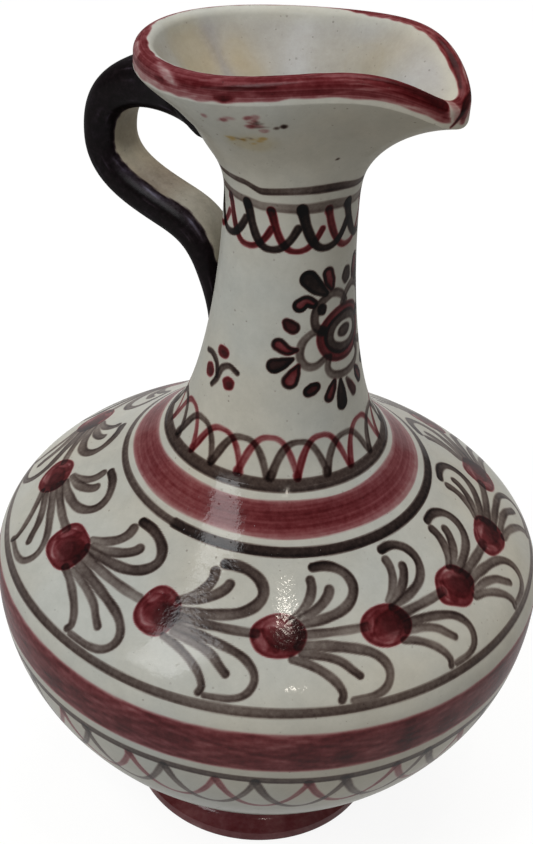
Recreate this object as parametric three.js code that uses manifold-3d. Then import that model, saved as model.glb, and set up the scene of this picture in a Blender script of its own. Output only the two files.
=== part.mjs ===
// A wheel-thrown, tin-glazed jug. A round belly stands on a flared foot ring and carries a slender
// neck, which opens into a pinched oval mouth with a pulled pouring lip. A strap handle springs from
// under the rim and runs back down the neck. Each piece is made by itself and luted to the next.
// Millimetres, +Z up. The pot's axis is Z and it stands on Z = 0. The lip points along +X.

import * as THREE from 'three';
import { LoftGeometry } from 'three/addons/geometries/LoftGeometry.js';
import { mergeVertices } from 'three/addons/utils/BufferGeometryUtils.js';
import Module from 'manifold-3d';

const wasm = await Module();
wasm.setup();

const { degToRad, lerp, smoothstep } = THREE.MathUtils;

// Foot ring
const footHeight = 11;
const footRadius = 34.2;
const footTopRadius = 28;
const footRecessRadius = 23;
const footEdgeHeight = 3.4;
const footEdgeRound = 1.2;

// Belly
const bellyHeight = 105;
const bellyRadius = 70;
const widestHeight = 64.7;
const bellyWall = 5;
const bellyFloor = 6;
const lowerWallAngle = degToRad(36);
const lowerWallPull = 37.5;
const widestPullDown = 22.8;
const widestPullUp = 16.9;
const shoulderPull = 27.5;

// Seam between belly and neck
const seamRadius = 26.7;
const seamWidth = 5.7;
const seamAngle = degToRad(48);
const spigotDepth = 5;
const spigotWall = 3.2;
const slipGap = 0.3;

// Neck
const neckHeight = 62;
const throatRadius = 15.2;
const neckWall = 4.2;
const neckFootPull = 10.3;
const throatPull = 26.4;

// Mouth: an oval set back towards the handle, with its lip pulled forward and pressed down
const mouthHeight = 32.6;
const mouthHalfLength = 30;
const mouthHalfWidth = 25.8;
const mouthSetBack = 5.4;
const lipReach = 10.6;
const lipSpread = 0.62;
const lipDrop = 9.2;
const lipDropSpread = 0.43;
const rimTilt = 4.4;
const rimSaddle = 1.1;
const rimRound = 2.4;
const rimBand = 2.8;

// Flare from throat to rim, as shares of its own height and reach, for the sides and for the lip
const flareLow = { side: 0.5, lip: 0.6 };
const flareIn = 0.4;
const flareHigh = { side: 0.4, lip: 0.1 };
const flareLipSpread = 0.75;

// Handle
const handleReach = 50.4;
const handleDropFromRim = 15.5;
const handleRise = 2;
const handleEarAboveThroat = 2;
const handleElbowReach = 33;
const handleElbowBelowThroat = 12.3;
const handleElbowSlope = degToRad(16);
const handleTailBelowThroat = 40;
const handleTopPull = 27;
const handleEarPullUp = 12;
const handleEarPullDown = 9;
const handleElbowPull = 9;
const handleTailPull = 22;
const handleThickness = 8.6;
const handleRootThickness = 10.5;
const handleTailThickness = 3;
const handleTailSink = 0.75;
const handleWidth = 13.5;
const handleRootWidth = 16;
const handleSquareness = 2.6;
const handleRootShare = 0.3;
const handleTailShare = 0.7;

// Facets and tolerances
const around = 48;
const neckRows = 9;
const flareRows = 10;
const rimRows = 5;
const lowerBellyRows = 10;
const shoulderRows = 12;
const footFlareRows = 5;
const footRoundRows = 3;
const handleRows = 30;
const handleSides = 14;
const mergeDistance = 1e-4;
const halvingLimit = 1e-6;
const slopeStep = 1e-4;

// Heights of the stacked pieces
const seamZ = footHeight + bellyHeight;
const throatZ = seamZ + neckHeight;
const rimZ = throatZ + mouthHeight;
const bellyMouthRadius = seamRadius - seamWidth;
const spigotRadius = bellyMouthRadius - slipGap;
const boreRadius = spigotRadius - spigotWall;

const plan = (x, y) => new THREE.Vector2(x, y);

function turned(profile) {
  return new THREE.LatheGeometry(profile, around).rotateX(Math.PI / 2);
}

function toSolid(geometry) {
  const bare = new THREE.BufferGeometry();
  bare.setAttribute('position', geometry.getAttribute('position'));
  bare.setIndex(geometry.getIndex());
  const merged = mergeVertices(bare, mergeDistance);
  return new wasm.Manifold(new wasm.Mesh({
    numProp: 3,
    vertProperties: new Float32Array(merged.getAttribute('position').array),
    triVerts: new Uint32Array(merged.getIndex().array),
  }));
}

function toGeometry(solid) {
  const mesh = solid.getMesh();
  const geometry = new THREE.BufferGeometry();
  geometry.setAttribute('position', new THREE.BufferAttribute(mesh.vertProperties, 3));
  geometry.setIndex(new THREE.BufferAttribute(mesh.triVerts, 1));
  geometry.computeVertexNormals();
  return geometry;
}

// Foot ring: a concave flare from the belly's base out to an upright, rounded edge
function footRing() {
  const edgeTop = plan(footRadius, footEdgeHeight);
  const flareTop = plan(footTopRadius, footHeight);
  const flare = new THREE.QuadraticBezierCurve(edgeTop, plan(footTopRadius, footEdgeHeight), flareTop);
  const round = new THREE.EllipseCurve(
    footRadius - footEdgeRound, footEdgeRound, footEdgeRound, footEdgeRound, -Math.PI / 2, 0,
  );
  const profile = [
    plan(footRecessRadius, 0),
    ...round.getPoints(footRoundRows),
    ...flare.getPoints(footFlareRows),
    plan(footRecessRadius, footHeight),
    plan(footRecessRadius, 0),
  ];
  return turned(profile);
}

// Outer wall of the belly, from the foot to the widest circle and on to the seam
function bellyCurves() {
  const base = plan(footTopRadius, footHeight);
  const widest = plan(bellyRadius, footHeight + widestHeight);
  const seam = plan(seamRadius, seamZ);
  const basePull = plan(Math.cos(lowerWallAngle), Math.sin(lowerWallAngle)).multiplyScalar(lowerWallPull);
  const seamPull = plan(Math.cos(seamAngle), -Math.sin(seamAngle)).multiplyScalar(shoulderPull);
  const lower = new THREE.CubicBezierCurve(
    base, base.clone().add(basePull), plan(widest.x, widest.y - widestPullDown), widest,
  );
  const shoulder = new THREE.CubicBezierCurve(
    widest, plan(widest.x, widest.y + widestPullUp), seam.clone().add(seamPull), seam,
  );
  return { lower, shoulder };
}

function insetPoint(curve, share) {
  const tangent = curve.getTangent(share);
  return curve.getPoint(share).add(plan(-tangent.y, tangent.x).multiplyScalar(bellyWall));
}

// Share of a rising profile at which it reaches a height, found by halving
function shareAt(pointAt, height) {
  let low = 0;
  let high = 1;
  while (high - low > halvingLimit) {
    const middle = (low + high) / 2;
    if (pointAt(middle).y < height) {
      low = middle;
    } else {
      high = middle;
    }
  }
  return low;
}

function downFrom(pointAt, lowest, rows) {
  return Array.from({ length: rows + 1 }, (_, i) => pointAt(lerp(1, lowest, i / rows)));
}

// Belly: an even shell with a flat floor, open at the seam
function belly() {
  const { lower, shoulder } = bellyCurves();
  const floorZ = footHeight + bellyFloor;
  const innerLower = (share) => insetPoint(lower, share);
  const innerShoulder = (share) => insetPoint(shoulder, share);
  const profile = [
    plan(0, footHeight),
    ...lower.getPoints(lowerBellyRows),
    ...shoulder.getPoints(shoulderRows).slice(1),
    plan(bellyMouthRadius, seamZ),
    plan(bellyMouthRadius, innerShoulder(1).y),
    ...downFrom(innerShoulder, 0, shoulderRows),
    ...downFrom(innerLower, shareAt(innerLower, floorZ), lowerBellyRows).slice(1),
    plan(0, floorZ),
  ];
  return turned(profile);
}

// Centre line of the rolled rim at an angle from the lip
function fallOff(angle, spread) {
  const away = Math.min(angle, 2 * Math.PI - angle);
  return Math.exp(-((away / spread) ** 2));
}

function rimPoint(angle) {
  const x = mouthHalfLength * Math.cos(angle) - mouthSetBack + lipReach * fallOff(angle, lipSpread);
  const y = mouthHalfWidth * Math.sin(angle);
  const wave = rimTilt * Math.cos(angle) + rimSaddle * Math.cos(2 * angle);
  return new THREE.Vector3(x, y, rimZ + wave - lipDrop * fallOff(angle, lipDropSpread));
}

function rimOutward(angle) {
  const along = rimPoint(angle + slopeStep).sub(rimPoint(angle - slopeStep));
  return new THREE.Vector3(along.y, -along.x, 0).normalize();
}

// One side of the flare at an angle: side is 1 on the outside and -1 on the inside, which meets the
// rim higher along the lip so that the wall stays full where it runs out flat
function flareCurve(angle, throat, side) {
  const start = new THREE.Vector3(throat * Math.cos(angle), throat * Math.sin(angle), throatZ);
  const lip = fallOff(angle, flareLipSpread);
  const end = rimPoint(angle).addScaledVector(rimOutward(angle), side * rimRound);
  end.z -= side > 0 ? rimBand : rimBand * (1 - lip);
  const height = end.z - start.z;
  const low = start.clone();
  low.z += lerp(flareLow.side, flareLow.lip, lip) * height;
  const high = end.clone().lerp(start, flareIn);
  high.z = end.z - lerp(flareHigh.side, flareHigh.lip, lip) * height;
  return new THREE.CubicBezierCurve3(start, low, high, end);
}

function ring(pointAt) {
  return Array.from({ length: around }, (_, i) => pointAt((2 * Math.PI * i) / around));
}

function roundRing(radius, z) {
  return ring((angle) => new THREE.Vector3(radius * Math.cos(angle), radius * Math.sin(angle), z));
}

function neckCurve() {
  const seam = plan(seamRadius, seamZ);
  const pull = plan(-Math.cos(seamAngle), Math.sin(seamAngle)).multiplyScalar(neckFootPull);
  const throat = plan(throatRadius, throatZ);
  return new THREE.CubicBezierCurve(
    seam, seam.clone().add(pull), plan(throatRadius, throatZ - throatPull), throat,
  );
}

function boreCurve() {
  const throat = plan(throatRadius - neckWall, throatZ);
  const foot = plan(boreRadius, seamZ);
  return new THREE.CubicBezierCurve(
    throat, plan(throat.x, throatZ - throatPull), plan(foot.x, seamZ + neckFootPull), foot,
  );
}

function outerNeckRings() {
  const rings = neckCurve().getPoints(neckRows).map((point) => roundRing(point.x, point.y));
  for (let i = 1; i <= flareRows; i++) {
    rings.push(ring((angle) => flareCurve(angle, throatRadius, 1).getPoint(i / flareRows)));
  }
  return rings;
}

// Neck: outside up from the seam, over the rolled rim, down the bore and round the spigot
function neck() {
  const rings = outerNeckRings();
  for (let i = 0; i <= rimRows; i++) {
    const turn = (Math.PI * i) / rimRows;
    rings.push(ring((angle) => {
      const point = rimPoint(angle).addScaledVector(rimOutward(angle), rimRound * Math.cos(turn));
      point.z += rimRound * Math.sin(turn);
      return point;
    }));
  }
  for (let i = flareRows; i > 0; i--) {
    rings.push(ring((angle) => flareCurve(angle, throatRadius - neckWall, -1).getPoint(i / flareRows)));
  }
  boreCurve().getPoints(neckRows).forEach((point) => rings.push(roundRing(point.x, point.y)));
  rings.push(roundRing(boreRadius, seamZ - spigotDepth));
  rings.push(roundRing(spigotRadius, seamZ - spigotDepth));
  rings.push(roundRing(spigotRadius, seamZ));
  rings.push(rings[0]);
  return new LoftGeometry(rings);
}

// The neck filled up and grown by the slip gap, for cutting the handle's roots to its surface
function neckCutter() {
  const grown = outerNeckRings().map((points) => points.map((point) => {
    const outward = new THREE.Vector3(point.x, point.y, 0).normalize();
    return point.clone().addScaledVector(outward, slipGap).add(new THREE.Vector3(0, 0, -slipGap));
  }));
  const top = ring((angle) => rimPoint(angle).addScaledVector(rimOutward(angle), rimRound + slipGap));
  return toSolid(new LoftGeometry([...grown, top], { capStart: true, capEnd: true }));
}

// Handle route, in the plane of the lip: out from under the rim, round the ear, in to the elbow,
// and down the neck to the tail
function handlePath() {
  const at = (reach, z) => new THREE.Vector3(-reach, 0, z);
  const topZ = rimZ - handleDropFromRim;
  const earZ = throatZ + handleEarAboveThroat;
  const elbowZ = throatZ - handleElbowBelowThroat;
  const tailZ = throatZ - handleTailBelowThroat;
  const wall = neckCurve();
  const tailShare = shareAt((share) => wall.getPoint(share), tailZ);
  const tailReach = wall.getPoint(tailShare).x - handleTailSink;
  const rootReach = throatRadius;
  const slopeIn = handleElbowPull * Math.cos(handleElbowSlope);
  const slopeDown = handleElbowPull * Math.sin(handleElbowSlope);
  const root = at(rootReach, topZ);
  const ear = at(handleReach, earZ);
  const elbow = at(handleElbowReach, elbowZ);
  const tail = at(tailReach, tailZ);
  const path = new THREE.CurvePath();
  path.add(new THREE.CubicBezierCurve3(
    root, at(rootReach + handleTopPull, topZ + handleRise), at(handleReach, earZ + handleEarPullUp), ear,
  ));
  path.add(new THREE.CubicBezierCurve3(
    ear, at(handleReach, earZ - handleEarPullDown),
    at(handleElbowReach + slopeIn, elbowZ + slopeDown), elbow,
  ));
  path.add(new THREE.CubicBezierCurve3(
    elbow, at(handleElbowReach - slopeIn, elbowZ - slopeDown),
    at(tailReach, tailZ + handleTailPull), tail,
  ));
  return path;
}

// Strap section: a rounded rectangle as a superellipse, thick at the root and thin at the tail
function strapSection(path, share) {
  const centre = path.getPointAt(share);
  const across = new THREE.Vector3(0, 1, 0);
  const outward = across.clone().cross(path.getTangentAt(share));
  const root = 1 - smoothstep(share, 0, handleRootShare);
  const tail = smoothstep(share, handleTailShare, 1);
  const halfThick = lerp(lerp(handleThickness, handleRootThickness, root), handleTailThickness, tail) / 2;
  const halfWide = lerp(handleWidth, handleRootWidth, root) / 2;
  const round = (value) => Math.sign(value) * Math.abs(value) ** (2 / handleSquareness);
  return Array.from({ length: handleSides }, (_, i) => {
    const turn = (2 * Math.PI * (i + 0.5)) / handleSides;
    return centre.clone()
      .addScaledVector(outward, halfThick * round(Math.cos(turn)))
      .addScaledVector(across, halfWide * round(Math.sin(turn)));
  });
}

function handle() {
  const path = handlePath();
  const sections = [];
  for (let i = 0; i <= handleRows; i++) {
    sections.push(strapSection(path, i / handleRows));
  }
  const strap = toSolid(new LoftGeometry(sections, { capStart: true, capEnd: true }));
  return toGeometry(strap.subtract(neckCutter()));
}

const whiteGlaze = new THREE.MeshStandardMaterial({ color: 0xd6d2c6, roughness: 0.18, metalness: 0 });
const redGlaze = new THREE.MeshStandardMaterial({ color: 0x6a2a2f, roughness: 0.25, metalness: 0 });
const blackGlaze = new THREE.MeshStandardMaterial({ color: 0x1d1719, roughness: 0.28, metalness: 0 });

const jug = new THREE.Group();

function addPiece(name, geometry, material) {
  const mesh = new THREE.Mesh(geometry, material);
  mesh.name = name;
  jug.add(mesh);
}

addPiece('foot_ring', footRing(), redGlaze);
addPiece('belly', belly(), whiteGlaze);
addPiece('neck', neck(), whiteGlaze);
addPiece('handle', handle(), blackGlaze);

export default jug;
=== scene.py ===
# A wheel-thrown, tin-glazed jug, painted by brush in iron red and manganese brown.
# Shapes, paint and the camera are worked out in millimetres and degrees. Floor and lamps are in metres.
# Angle 0 is at the pouring lip, the handle is at 180, and angles run anticlockwise seen from above.
import math

import bpy
import numpy as np
from mathutils import Matrix, Vector


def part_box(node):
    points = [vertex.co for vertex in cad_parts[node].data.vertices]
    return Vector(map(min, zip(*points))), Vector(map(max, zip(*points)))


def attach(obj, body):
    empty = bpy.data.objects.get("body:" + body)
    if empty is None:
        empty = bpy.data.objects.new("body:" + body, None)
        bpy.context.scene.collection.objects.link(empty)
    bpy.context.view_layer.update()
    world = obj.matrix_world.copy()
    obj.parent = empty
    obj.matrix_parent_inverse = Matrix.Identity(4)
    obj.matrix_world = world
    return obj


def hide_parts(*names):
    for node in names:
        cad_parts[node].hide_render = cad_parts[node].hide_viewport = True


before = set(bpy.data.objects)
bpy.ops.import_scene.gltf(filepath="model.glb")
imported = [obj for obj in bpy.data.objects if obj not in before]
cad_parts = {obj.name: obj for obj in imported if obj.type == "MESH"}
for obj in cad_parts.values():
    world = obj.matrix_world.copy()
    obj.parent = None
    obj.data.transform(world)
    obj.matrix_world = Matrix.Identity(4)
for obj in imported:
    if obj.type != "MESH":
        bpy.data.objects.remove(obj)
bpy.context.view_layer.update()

MM = 0.001
TINY = 1e-9
UP = np.array([0.0, 0.0, 1.0])
rng = np.random.default_rng(11)

# Sizes read from the parts in model.glb
FOOT_RADIUS, _, FOOT_HEIGHT = np.array(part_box("foot_ring")[1]) / MM
BELLY_RADIUS, _, SEAM_Z = np.array(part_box("belly")[1]) / MM

# Foot ring
FOOT_TOP_RADIUS = 28
FOOT_RECESS_RADIUS = 23
FOOT_EDGE_HEIGHT = 3.4
FOOT_EDGE_ROUND = 1.2
FOOT_RED = 0.58
FOOT_BROWN = 0.05
FOOT_WORN_HEIGHT = 1.4
FOOT_THIN_TOP = 2.5

# Belly
WIDEST_Z = FOOT_HEIGHT + 64.7
BELLY_WALL = 5
BELLY_FLOOR = 6
LOWER_WALL_ANGLE = math.radians(36)
LOWER_WALL_PULL = 37.5
WIDEST_PULL_DOWN = 22.8
WIDEST_PULL_UP = 16.9
SHOULDER_PULL = 27.5
TURNING_PITCH = 4.6
TURNING_DEPTH = 0.006
TURNING_SWING = 0.5
TURNING_SWING_RATE = 0.7
OUT_OF_ROUND = 0.08
CALM_EDGE = 8

# Seam between belly and neck
SEAM_RADIUS = 26.7
SEAM_WIDTH = 5.7
SEAM_ANGLE = math.radians(48)
SPIGOT_DEPTH = 5
SPIGOT_WALL = 3.2
SLIP_GAP = 0.3

# Neck
THROAT_Z = SEAM_Z + 62
THROAT_RADIUS = 15.2
NECK_WALL = 4.2
NECK_FOOT_PULL = 10.3
THROAT_PULL = 26.4

# Mouth: an oval set back towards the handle, with its lip pulled forward and pressed down.
# Spreads, here and on the flare, are in radians.
RIM_Z = THROAT_Z + 32.6
MOUTH_HALF_LENGTH = 30
MOUTH_HALF_WIDTH = 25.8
MOUTH_SET_BACK = 5.4
LIP_REACH = 11.8
LIP_SPREAD = 0.62
LIP_DROP = 9.2
LIP_DROP_SPREAD = 0.43
RIM_TILT = 4.4
RIM_SADDLE = 1.1
RIM_ROUND = 2.4
RIM_BAND = 2.8
SLOPE_STEP = 1e-4

# Flare from throat to rim. Pairs are for the sides and for the lip.
FLARE_LOW = (0.5, 0.6)
FLARE_HIGH = (0.4, 0.1)
FLARE_IN = 0.4
FLARE_LIP_SPREAD = 0.75
ROLL = (math.radians(154), math.radians(114))
INSIDE_PULL = 12
HOLLOW_DEPTH = 2.1
HOLLOW_ANGLE = math.radians(131)
HOLLOW_SPREAD = 0.36
HOLLOW_SHARES = (0.35, 0.7, 0.8, 1.0)

# Rows and columns of the skins
BELLY_COLUMNS = 1280
BELLY_STEP = 0.33
BELLY_PLAIN_STEP = 2.0
BELLY_PAINTED = 92
NECK_COLUMNS = 560
NECK_STEP = 0.32
RIM_BAND_ROWS = 13
ROLL_ROWS = 33
INSIDE_ROWS = 91
FOOT_COLUMNS = 512
FOOT_EDGE_ROWS = 9
FOOT_FLARE_ROWS = 13
FOOT_PLAIN_ROWS = 8
COARSE_ROWS = 24
FINE = np.linspace(0, 1, 1500)


# Curves
def bezier(points, share):
    a, b, c, d = (np.asarray(p, float) for p in points)
    t = np.asarray(share, float)[..., None]
    return (1 - t) ** 3 * a + 3 * (1 - t) ** 2 * t * b + 3 * (1 - t) * t * t * c + t ** 3 * d


def chain(curves, share):
    """Points along curves that follow each other, each shared end taken once."""
    first, *others = (bezier(curve, share) for curve in curves)
    return np.concatenate([first] + [points[1:] for points in others])


def lerp(a, b, share):
    return a + (b - a) * share


def smooth(low, high, value):
    share = np.clip((value - low) / (high - low), 0, 1)
    return share * share * (3 - 2 * share)


def between(start, full, fade, end, value):
    """0 up to start, 1 from full to fade, and 0 again from end."""
    return smooth(start, full, value) * smooth(end, fade, value)


def heading(angle):
    return np.array([math.cos(angle), math.sin(angle)])


def polar(radius, turn, z):
    return np.stack(np.broadcast_arrays(radius * np.cos(turn), radius * np.sin(turn), z), -1)


def from_axis(points):
    return np.hypot(points[..., 0], points[..., 1])


def unit(vectors):
    return vectors / np.linalg.norm(vectors, axis=-1, keepdims=True)


def bell(value, spread):
    """1 at 0, falling to 0 on both sides of it."""
    return np.exp(-((value / spread) ** 2))


def even_angles(columns):
    return np.arange(columns) * 360 / columns


def signed(angle):
    """The same angle between -180 and 180."""
    return (angle + 180) % 360 - 180


def rings(columns, profile):
    """Rings of points round the axis, one for each radius and height of a profile."""
    turn = np.radians(even_angles(columns))
    return np.stack([polar(radius, turn, z) for radius, z in profile])


def length_along(points):
    return np.concatenate([[0], np.cumsum(np.linalg.norm(np.diff(points, axis=0), axis=1))])


def read_at(at, lengths, pairs):
    """The two columns of a list of pairs, each read at lengths along the list."""
    return (np.interp(at, lengths, column) for column in pairs.T)


def through(knots, step):
    """A smooth path through given knots, sampled about every step of the longer axis."""
    knots = np.asarray(knots, float)
    padded = np.vstack([2 * knots[0] - knots[1], knots, 2 * knots[-1] - knots[-2]])
    pieces = []
    for p0, p1, p2, p3 in zip(padded, padded[1:], padded[2:], padded[3:]):
        count = max(2, int(np.abs(p2 - p1).max() / step))
        bend = [p1, p1 + (p2 - p0) / 6, p2 - (p3 - p1) / 6, p2]
        pieces.append(bezier(bend, np.linspace(0, 1, count, endpoint=False)))
    return np.concatenate(pieces + [knots[-1:]])


def spread_over(values, count):
    """A few values drawn out evenly to a count."""
    return np.interp(np.linspace(0, 1, count), np.linspace(0, 1, len(values)), values)


def hand(angle, seed, lowest=1, highest=7):
    """A small unsteadiness of a hand, as a sum of waves round the pot, mostly between -1 and 1."""
    draws = np.random.default_rng(seed)
    total = np.zeros(np.shape(angle))
    for wave in range(lowest, highest + 1):
        total += draws.normal() * np.sin(np.radians(angle) * wave + draws.uniform(0, 2 * np.pi))
    return total / math.sqrt(highest - lowest + 1)


def fall_off(turn, spread):
    """1 at turn 0, falling to 0 on both sides of it."""
    return bell((turn + np.pi) % (2 * np.pi) - np.pi, spread)


def near(angles, middle, spread):
    """1 at one angle, falling to 0 on both sides of it."""
    return fall_off(np.radians(angles - middle), math.radians(spread))


# Belly: the outside is read by the distance down from the seam, along the wall
BASE = np.array([FOOT_TOP_RADIUS, FOOT_HEIGHT])
WIDEST = np.array([BELLY_RADIUS, WIDEST_Z])
SEAM = np.array([SEAM_RADIUS, SEAM_Z])
LOWER_WALL = [BASE, BASE + LOWER_WALL_PULL * heading(LOWER_WALL_ANGLE),
              WIDEST - (0, WIDEST_PULL_DOWN), WIDEST]
SHOULDER = [WIDEST, WIDEST + (0, WIDEST_PULL_UP), SEAM + SHOULDER_PULL * heading(-SEAM_ANGLE), SEAM]
BELLY_OUTLINE = chain([LOWER_WALL, SHOULDER], FINE)[::-1]
BELLY_DOWN = length_along(BELLY_OUTLINE)
BELLY_LENGTH = BELLY_DOWN[-1]


def belly_place(angle, down):
    """Points on the belly, with the faint ridges that the potter's fingers leave."""
    angle, down = np.broadcast_arrays(angle, down)
    radius, z = read_at(down, BELLY_DOWN, BELLY_OUTLINE)
    calm = smooth(0, CALM_EDGE, down) * smooth(0, CALM_EDGE, BELLY_LENGTH - down)
    turning = down / TURNING_PITCH - angle / 360
    swing = 1 + TURNING_SWING * np.sin(TURNING_SWING_RATE * turning)
    ridge = TURNING_DEPTH * np.sin(2 * np.pi * turning) * swing
    radius = radius + calm * (ridge + OUT_OF_ROUND * hand(angle, 3, 2, 4) - OUT_OF_ROUND)
    return polar(radius, np.radians(angle), z)


# Neck: the outside is read by height up to the throat, then by a measure that runs up the flare,
# over the rim and down the inside
FLARE_SPAN = 45
FLARE_TOP = THROAT_Z + FLARE_SPAN
ROLL_START = FLARE_TOP + RIM_BAND
ROLL_END = ROLL_START + math.pi * RIM_ROUND
INSIDE_END = ROLL_END + FLARE_SPAN
THROAT = np.array([THROAT_RADIUS, THROAT_Z])
NECK_CURVE = [SEAM, SEAM - NECK_FOOT_PULL * heading(-SEAM_ANGLE), THROAT - (0, THROAT_PULL), THROAT]
NECK_OUTLINE = bezier(NECK_CURVE, FINE)


def rim_point(turn):
    x = MOUTH_HALF_LENGTH * np.cos(turn) - MOUTH_SET_BACK + LIP_REACH * fall_off(turn, LIP_SPREAD)
    y = MOUTH_HALF_WIDTH * np.sin(turn)
    wave = RIM_TILT * np.cos(turn) + RIM_SADDLE * np.cos(2 * turn)
    return np.stack([x, y, RIM_Z + wave - LIP_DROP * fall_off(turn, LIP_DROP_SPREAD)], -1)


def rim_outward(turn):
    along = rim_point(turn + SLOPE_STEP) - rim_point(turn - SLOPE_STEP)
    return unit(np.stack([along[..., 1], -along[..., 0], np.zeros(np.shape(turn))], -1))


def roll_turn(turn):
    """How far the rim rolls over before the inside begins: less at the lip, where that lies flatter."""
    return lerp(*ROLL, fall_off(turn, FLARE_LIP_SPREAD))


def rim_roll(turn, roll):
    """A point of the rim's roll. Roll 0 faces outwards and a quarter turn is the crest."""
    facing = np.cos(roll)[..., None] * rim_outward(turn) + np.sin(roll)[..., None] * UP
    return rim_point(turn) + RIM_ROUND * facing


def throat_and_pull(turn, radius, height):
    """The start of the flare at the throat, and the point that it first heads for."""
    throat = polar(radius, turn, THROAT_Z)
    pull = lerp(*FLARE_LOW, fall_off(turn, FLARE_LIP_SPREAD)) * height
    return throat, throat + pull[..., None] * UP


def flare_outside(turn, share):
    """The outside of the flare, with a shallow hollow on each side of the handle, where fingers held it."""
    end = rim_point(turn) + RIM_ROUND * rim_outward(turn) - RIM_BAND * UP
    height = end[..., 2] - THROAT_Z
    start, low = throat_and_pull(turn, THROAT_RADIUS, height)
    high = lerp(end, start, FLARE_IN)
    high[..., 2] = end[..., 2] - lerp(*FLARE_HIGH, fall_off(turn, FLARE_LIP_SPREAD)) * height
    beside = fall_off(turn - HOLLOW_ANGLE, HOLLOW_SPREAD) + fall_off(turn + HOLLOW_ANGLE, HOLLOW_SPREAD)
    hollow = HOLLOW_DEPTH * beside * between(*HOLLOW_SHARES, share)
    return bezier((start, low, high, end), share) + hollow[..., None] * polar(-1, turn, 0)


def flare_inside(turn, share):
    """The inside of the flare, which leaves the rim's roll without a crease."""
    roll = roll_turn(turn)
    end = rim_roll(turn, roll)
    leaving = np.cos(roll)[..., None] * UP - np.sin(roll)[..., None] * rim_outward(turn)
    start, low = throat_and_pull(turn, THROAT_RADIUS - NECK_WALL, end[..., 2] - THROAT_Z)
    return bezier((start, low, end + INSIDE_PULL * leaving, end), share)


def neck_place(angle, up):
    """Points on the neck, flare, rim and the inside of the flare."""
    angle, up = np.broadcast_arrays(angle, up)
    turn = np.radians(angle)
    points = polar(np.interp(up, NECK_OUTLINE[:, 1], NECK_OUTLINE[:, 0]), turn, up)
    flare = (up > THROAT_Z) & (up <= FLARE_TOP)
    points[flare] = flare_outside(turn[flare], (up[flare] - THROAT_Z) / FLARE_SPAN)
    edge = ROLL_START + RIM_ROUND * roll_turn(turn)
    rim = (up > FLARE_TOP) & (up <= edge)
    rolled = up[rim] - ROLL_START
    upright = np.minimum(rolled, 0)[..., None] * UP
    points[rim] = rim_roll(turn[rim], np.maximum(rolled, 0) / RIM_ROUND) + upright
    inside = up > edge
    share = (INSIDE_END - up) / (INSIDE_END - edge)
    points[inside] = flare_inside(turn[inside], share[inside])
    return points


# Paint: a canvas holds the loads of red, brown and stain at each point of a skin. A full brush has 1.
SOFT_EDGE = 0.27
POOL_WIDTH = 0.34
POOL = 0.3
HOLLOW_STROKE = (-0.4, -1.1)
WAVE_LENGTH = 7.0
WIDTH_WAVE = 0.05
INK_WAVE = 0.1
INK_WAVE_RATE = 0.7
INK_LEAN = 0.32
FACING_UP = 0.7
OVERLAP = 0.45
LIFT_LIMIT = 0.95
PATH_STEP = 0.6
DAB_UNEVEN = 0.045
STREAK_OCTAVES = (1, 1.9, 3.3)
STREAK_DRIFT = 0.35


def pooled(gap):
    """Ink gathers along the inner side of an edge."""
    return 1 + POOL * bell(gap + POOL_WIDTH, POOL_WIDTH)


def packed(red, brown, stain):
    """The three loads as one colour for each point."""
    return np.stack(np.broadcast_arrays(red, brown, stain, 1.0), -1).reshape(-1, 4)


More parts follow.
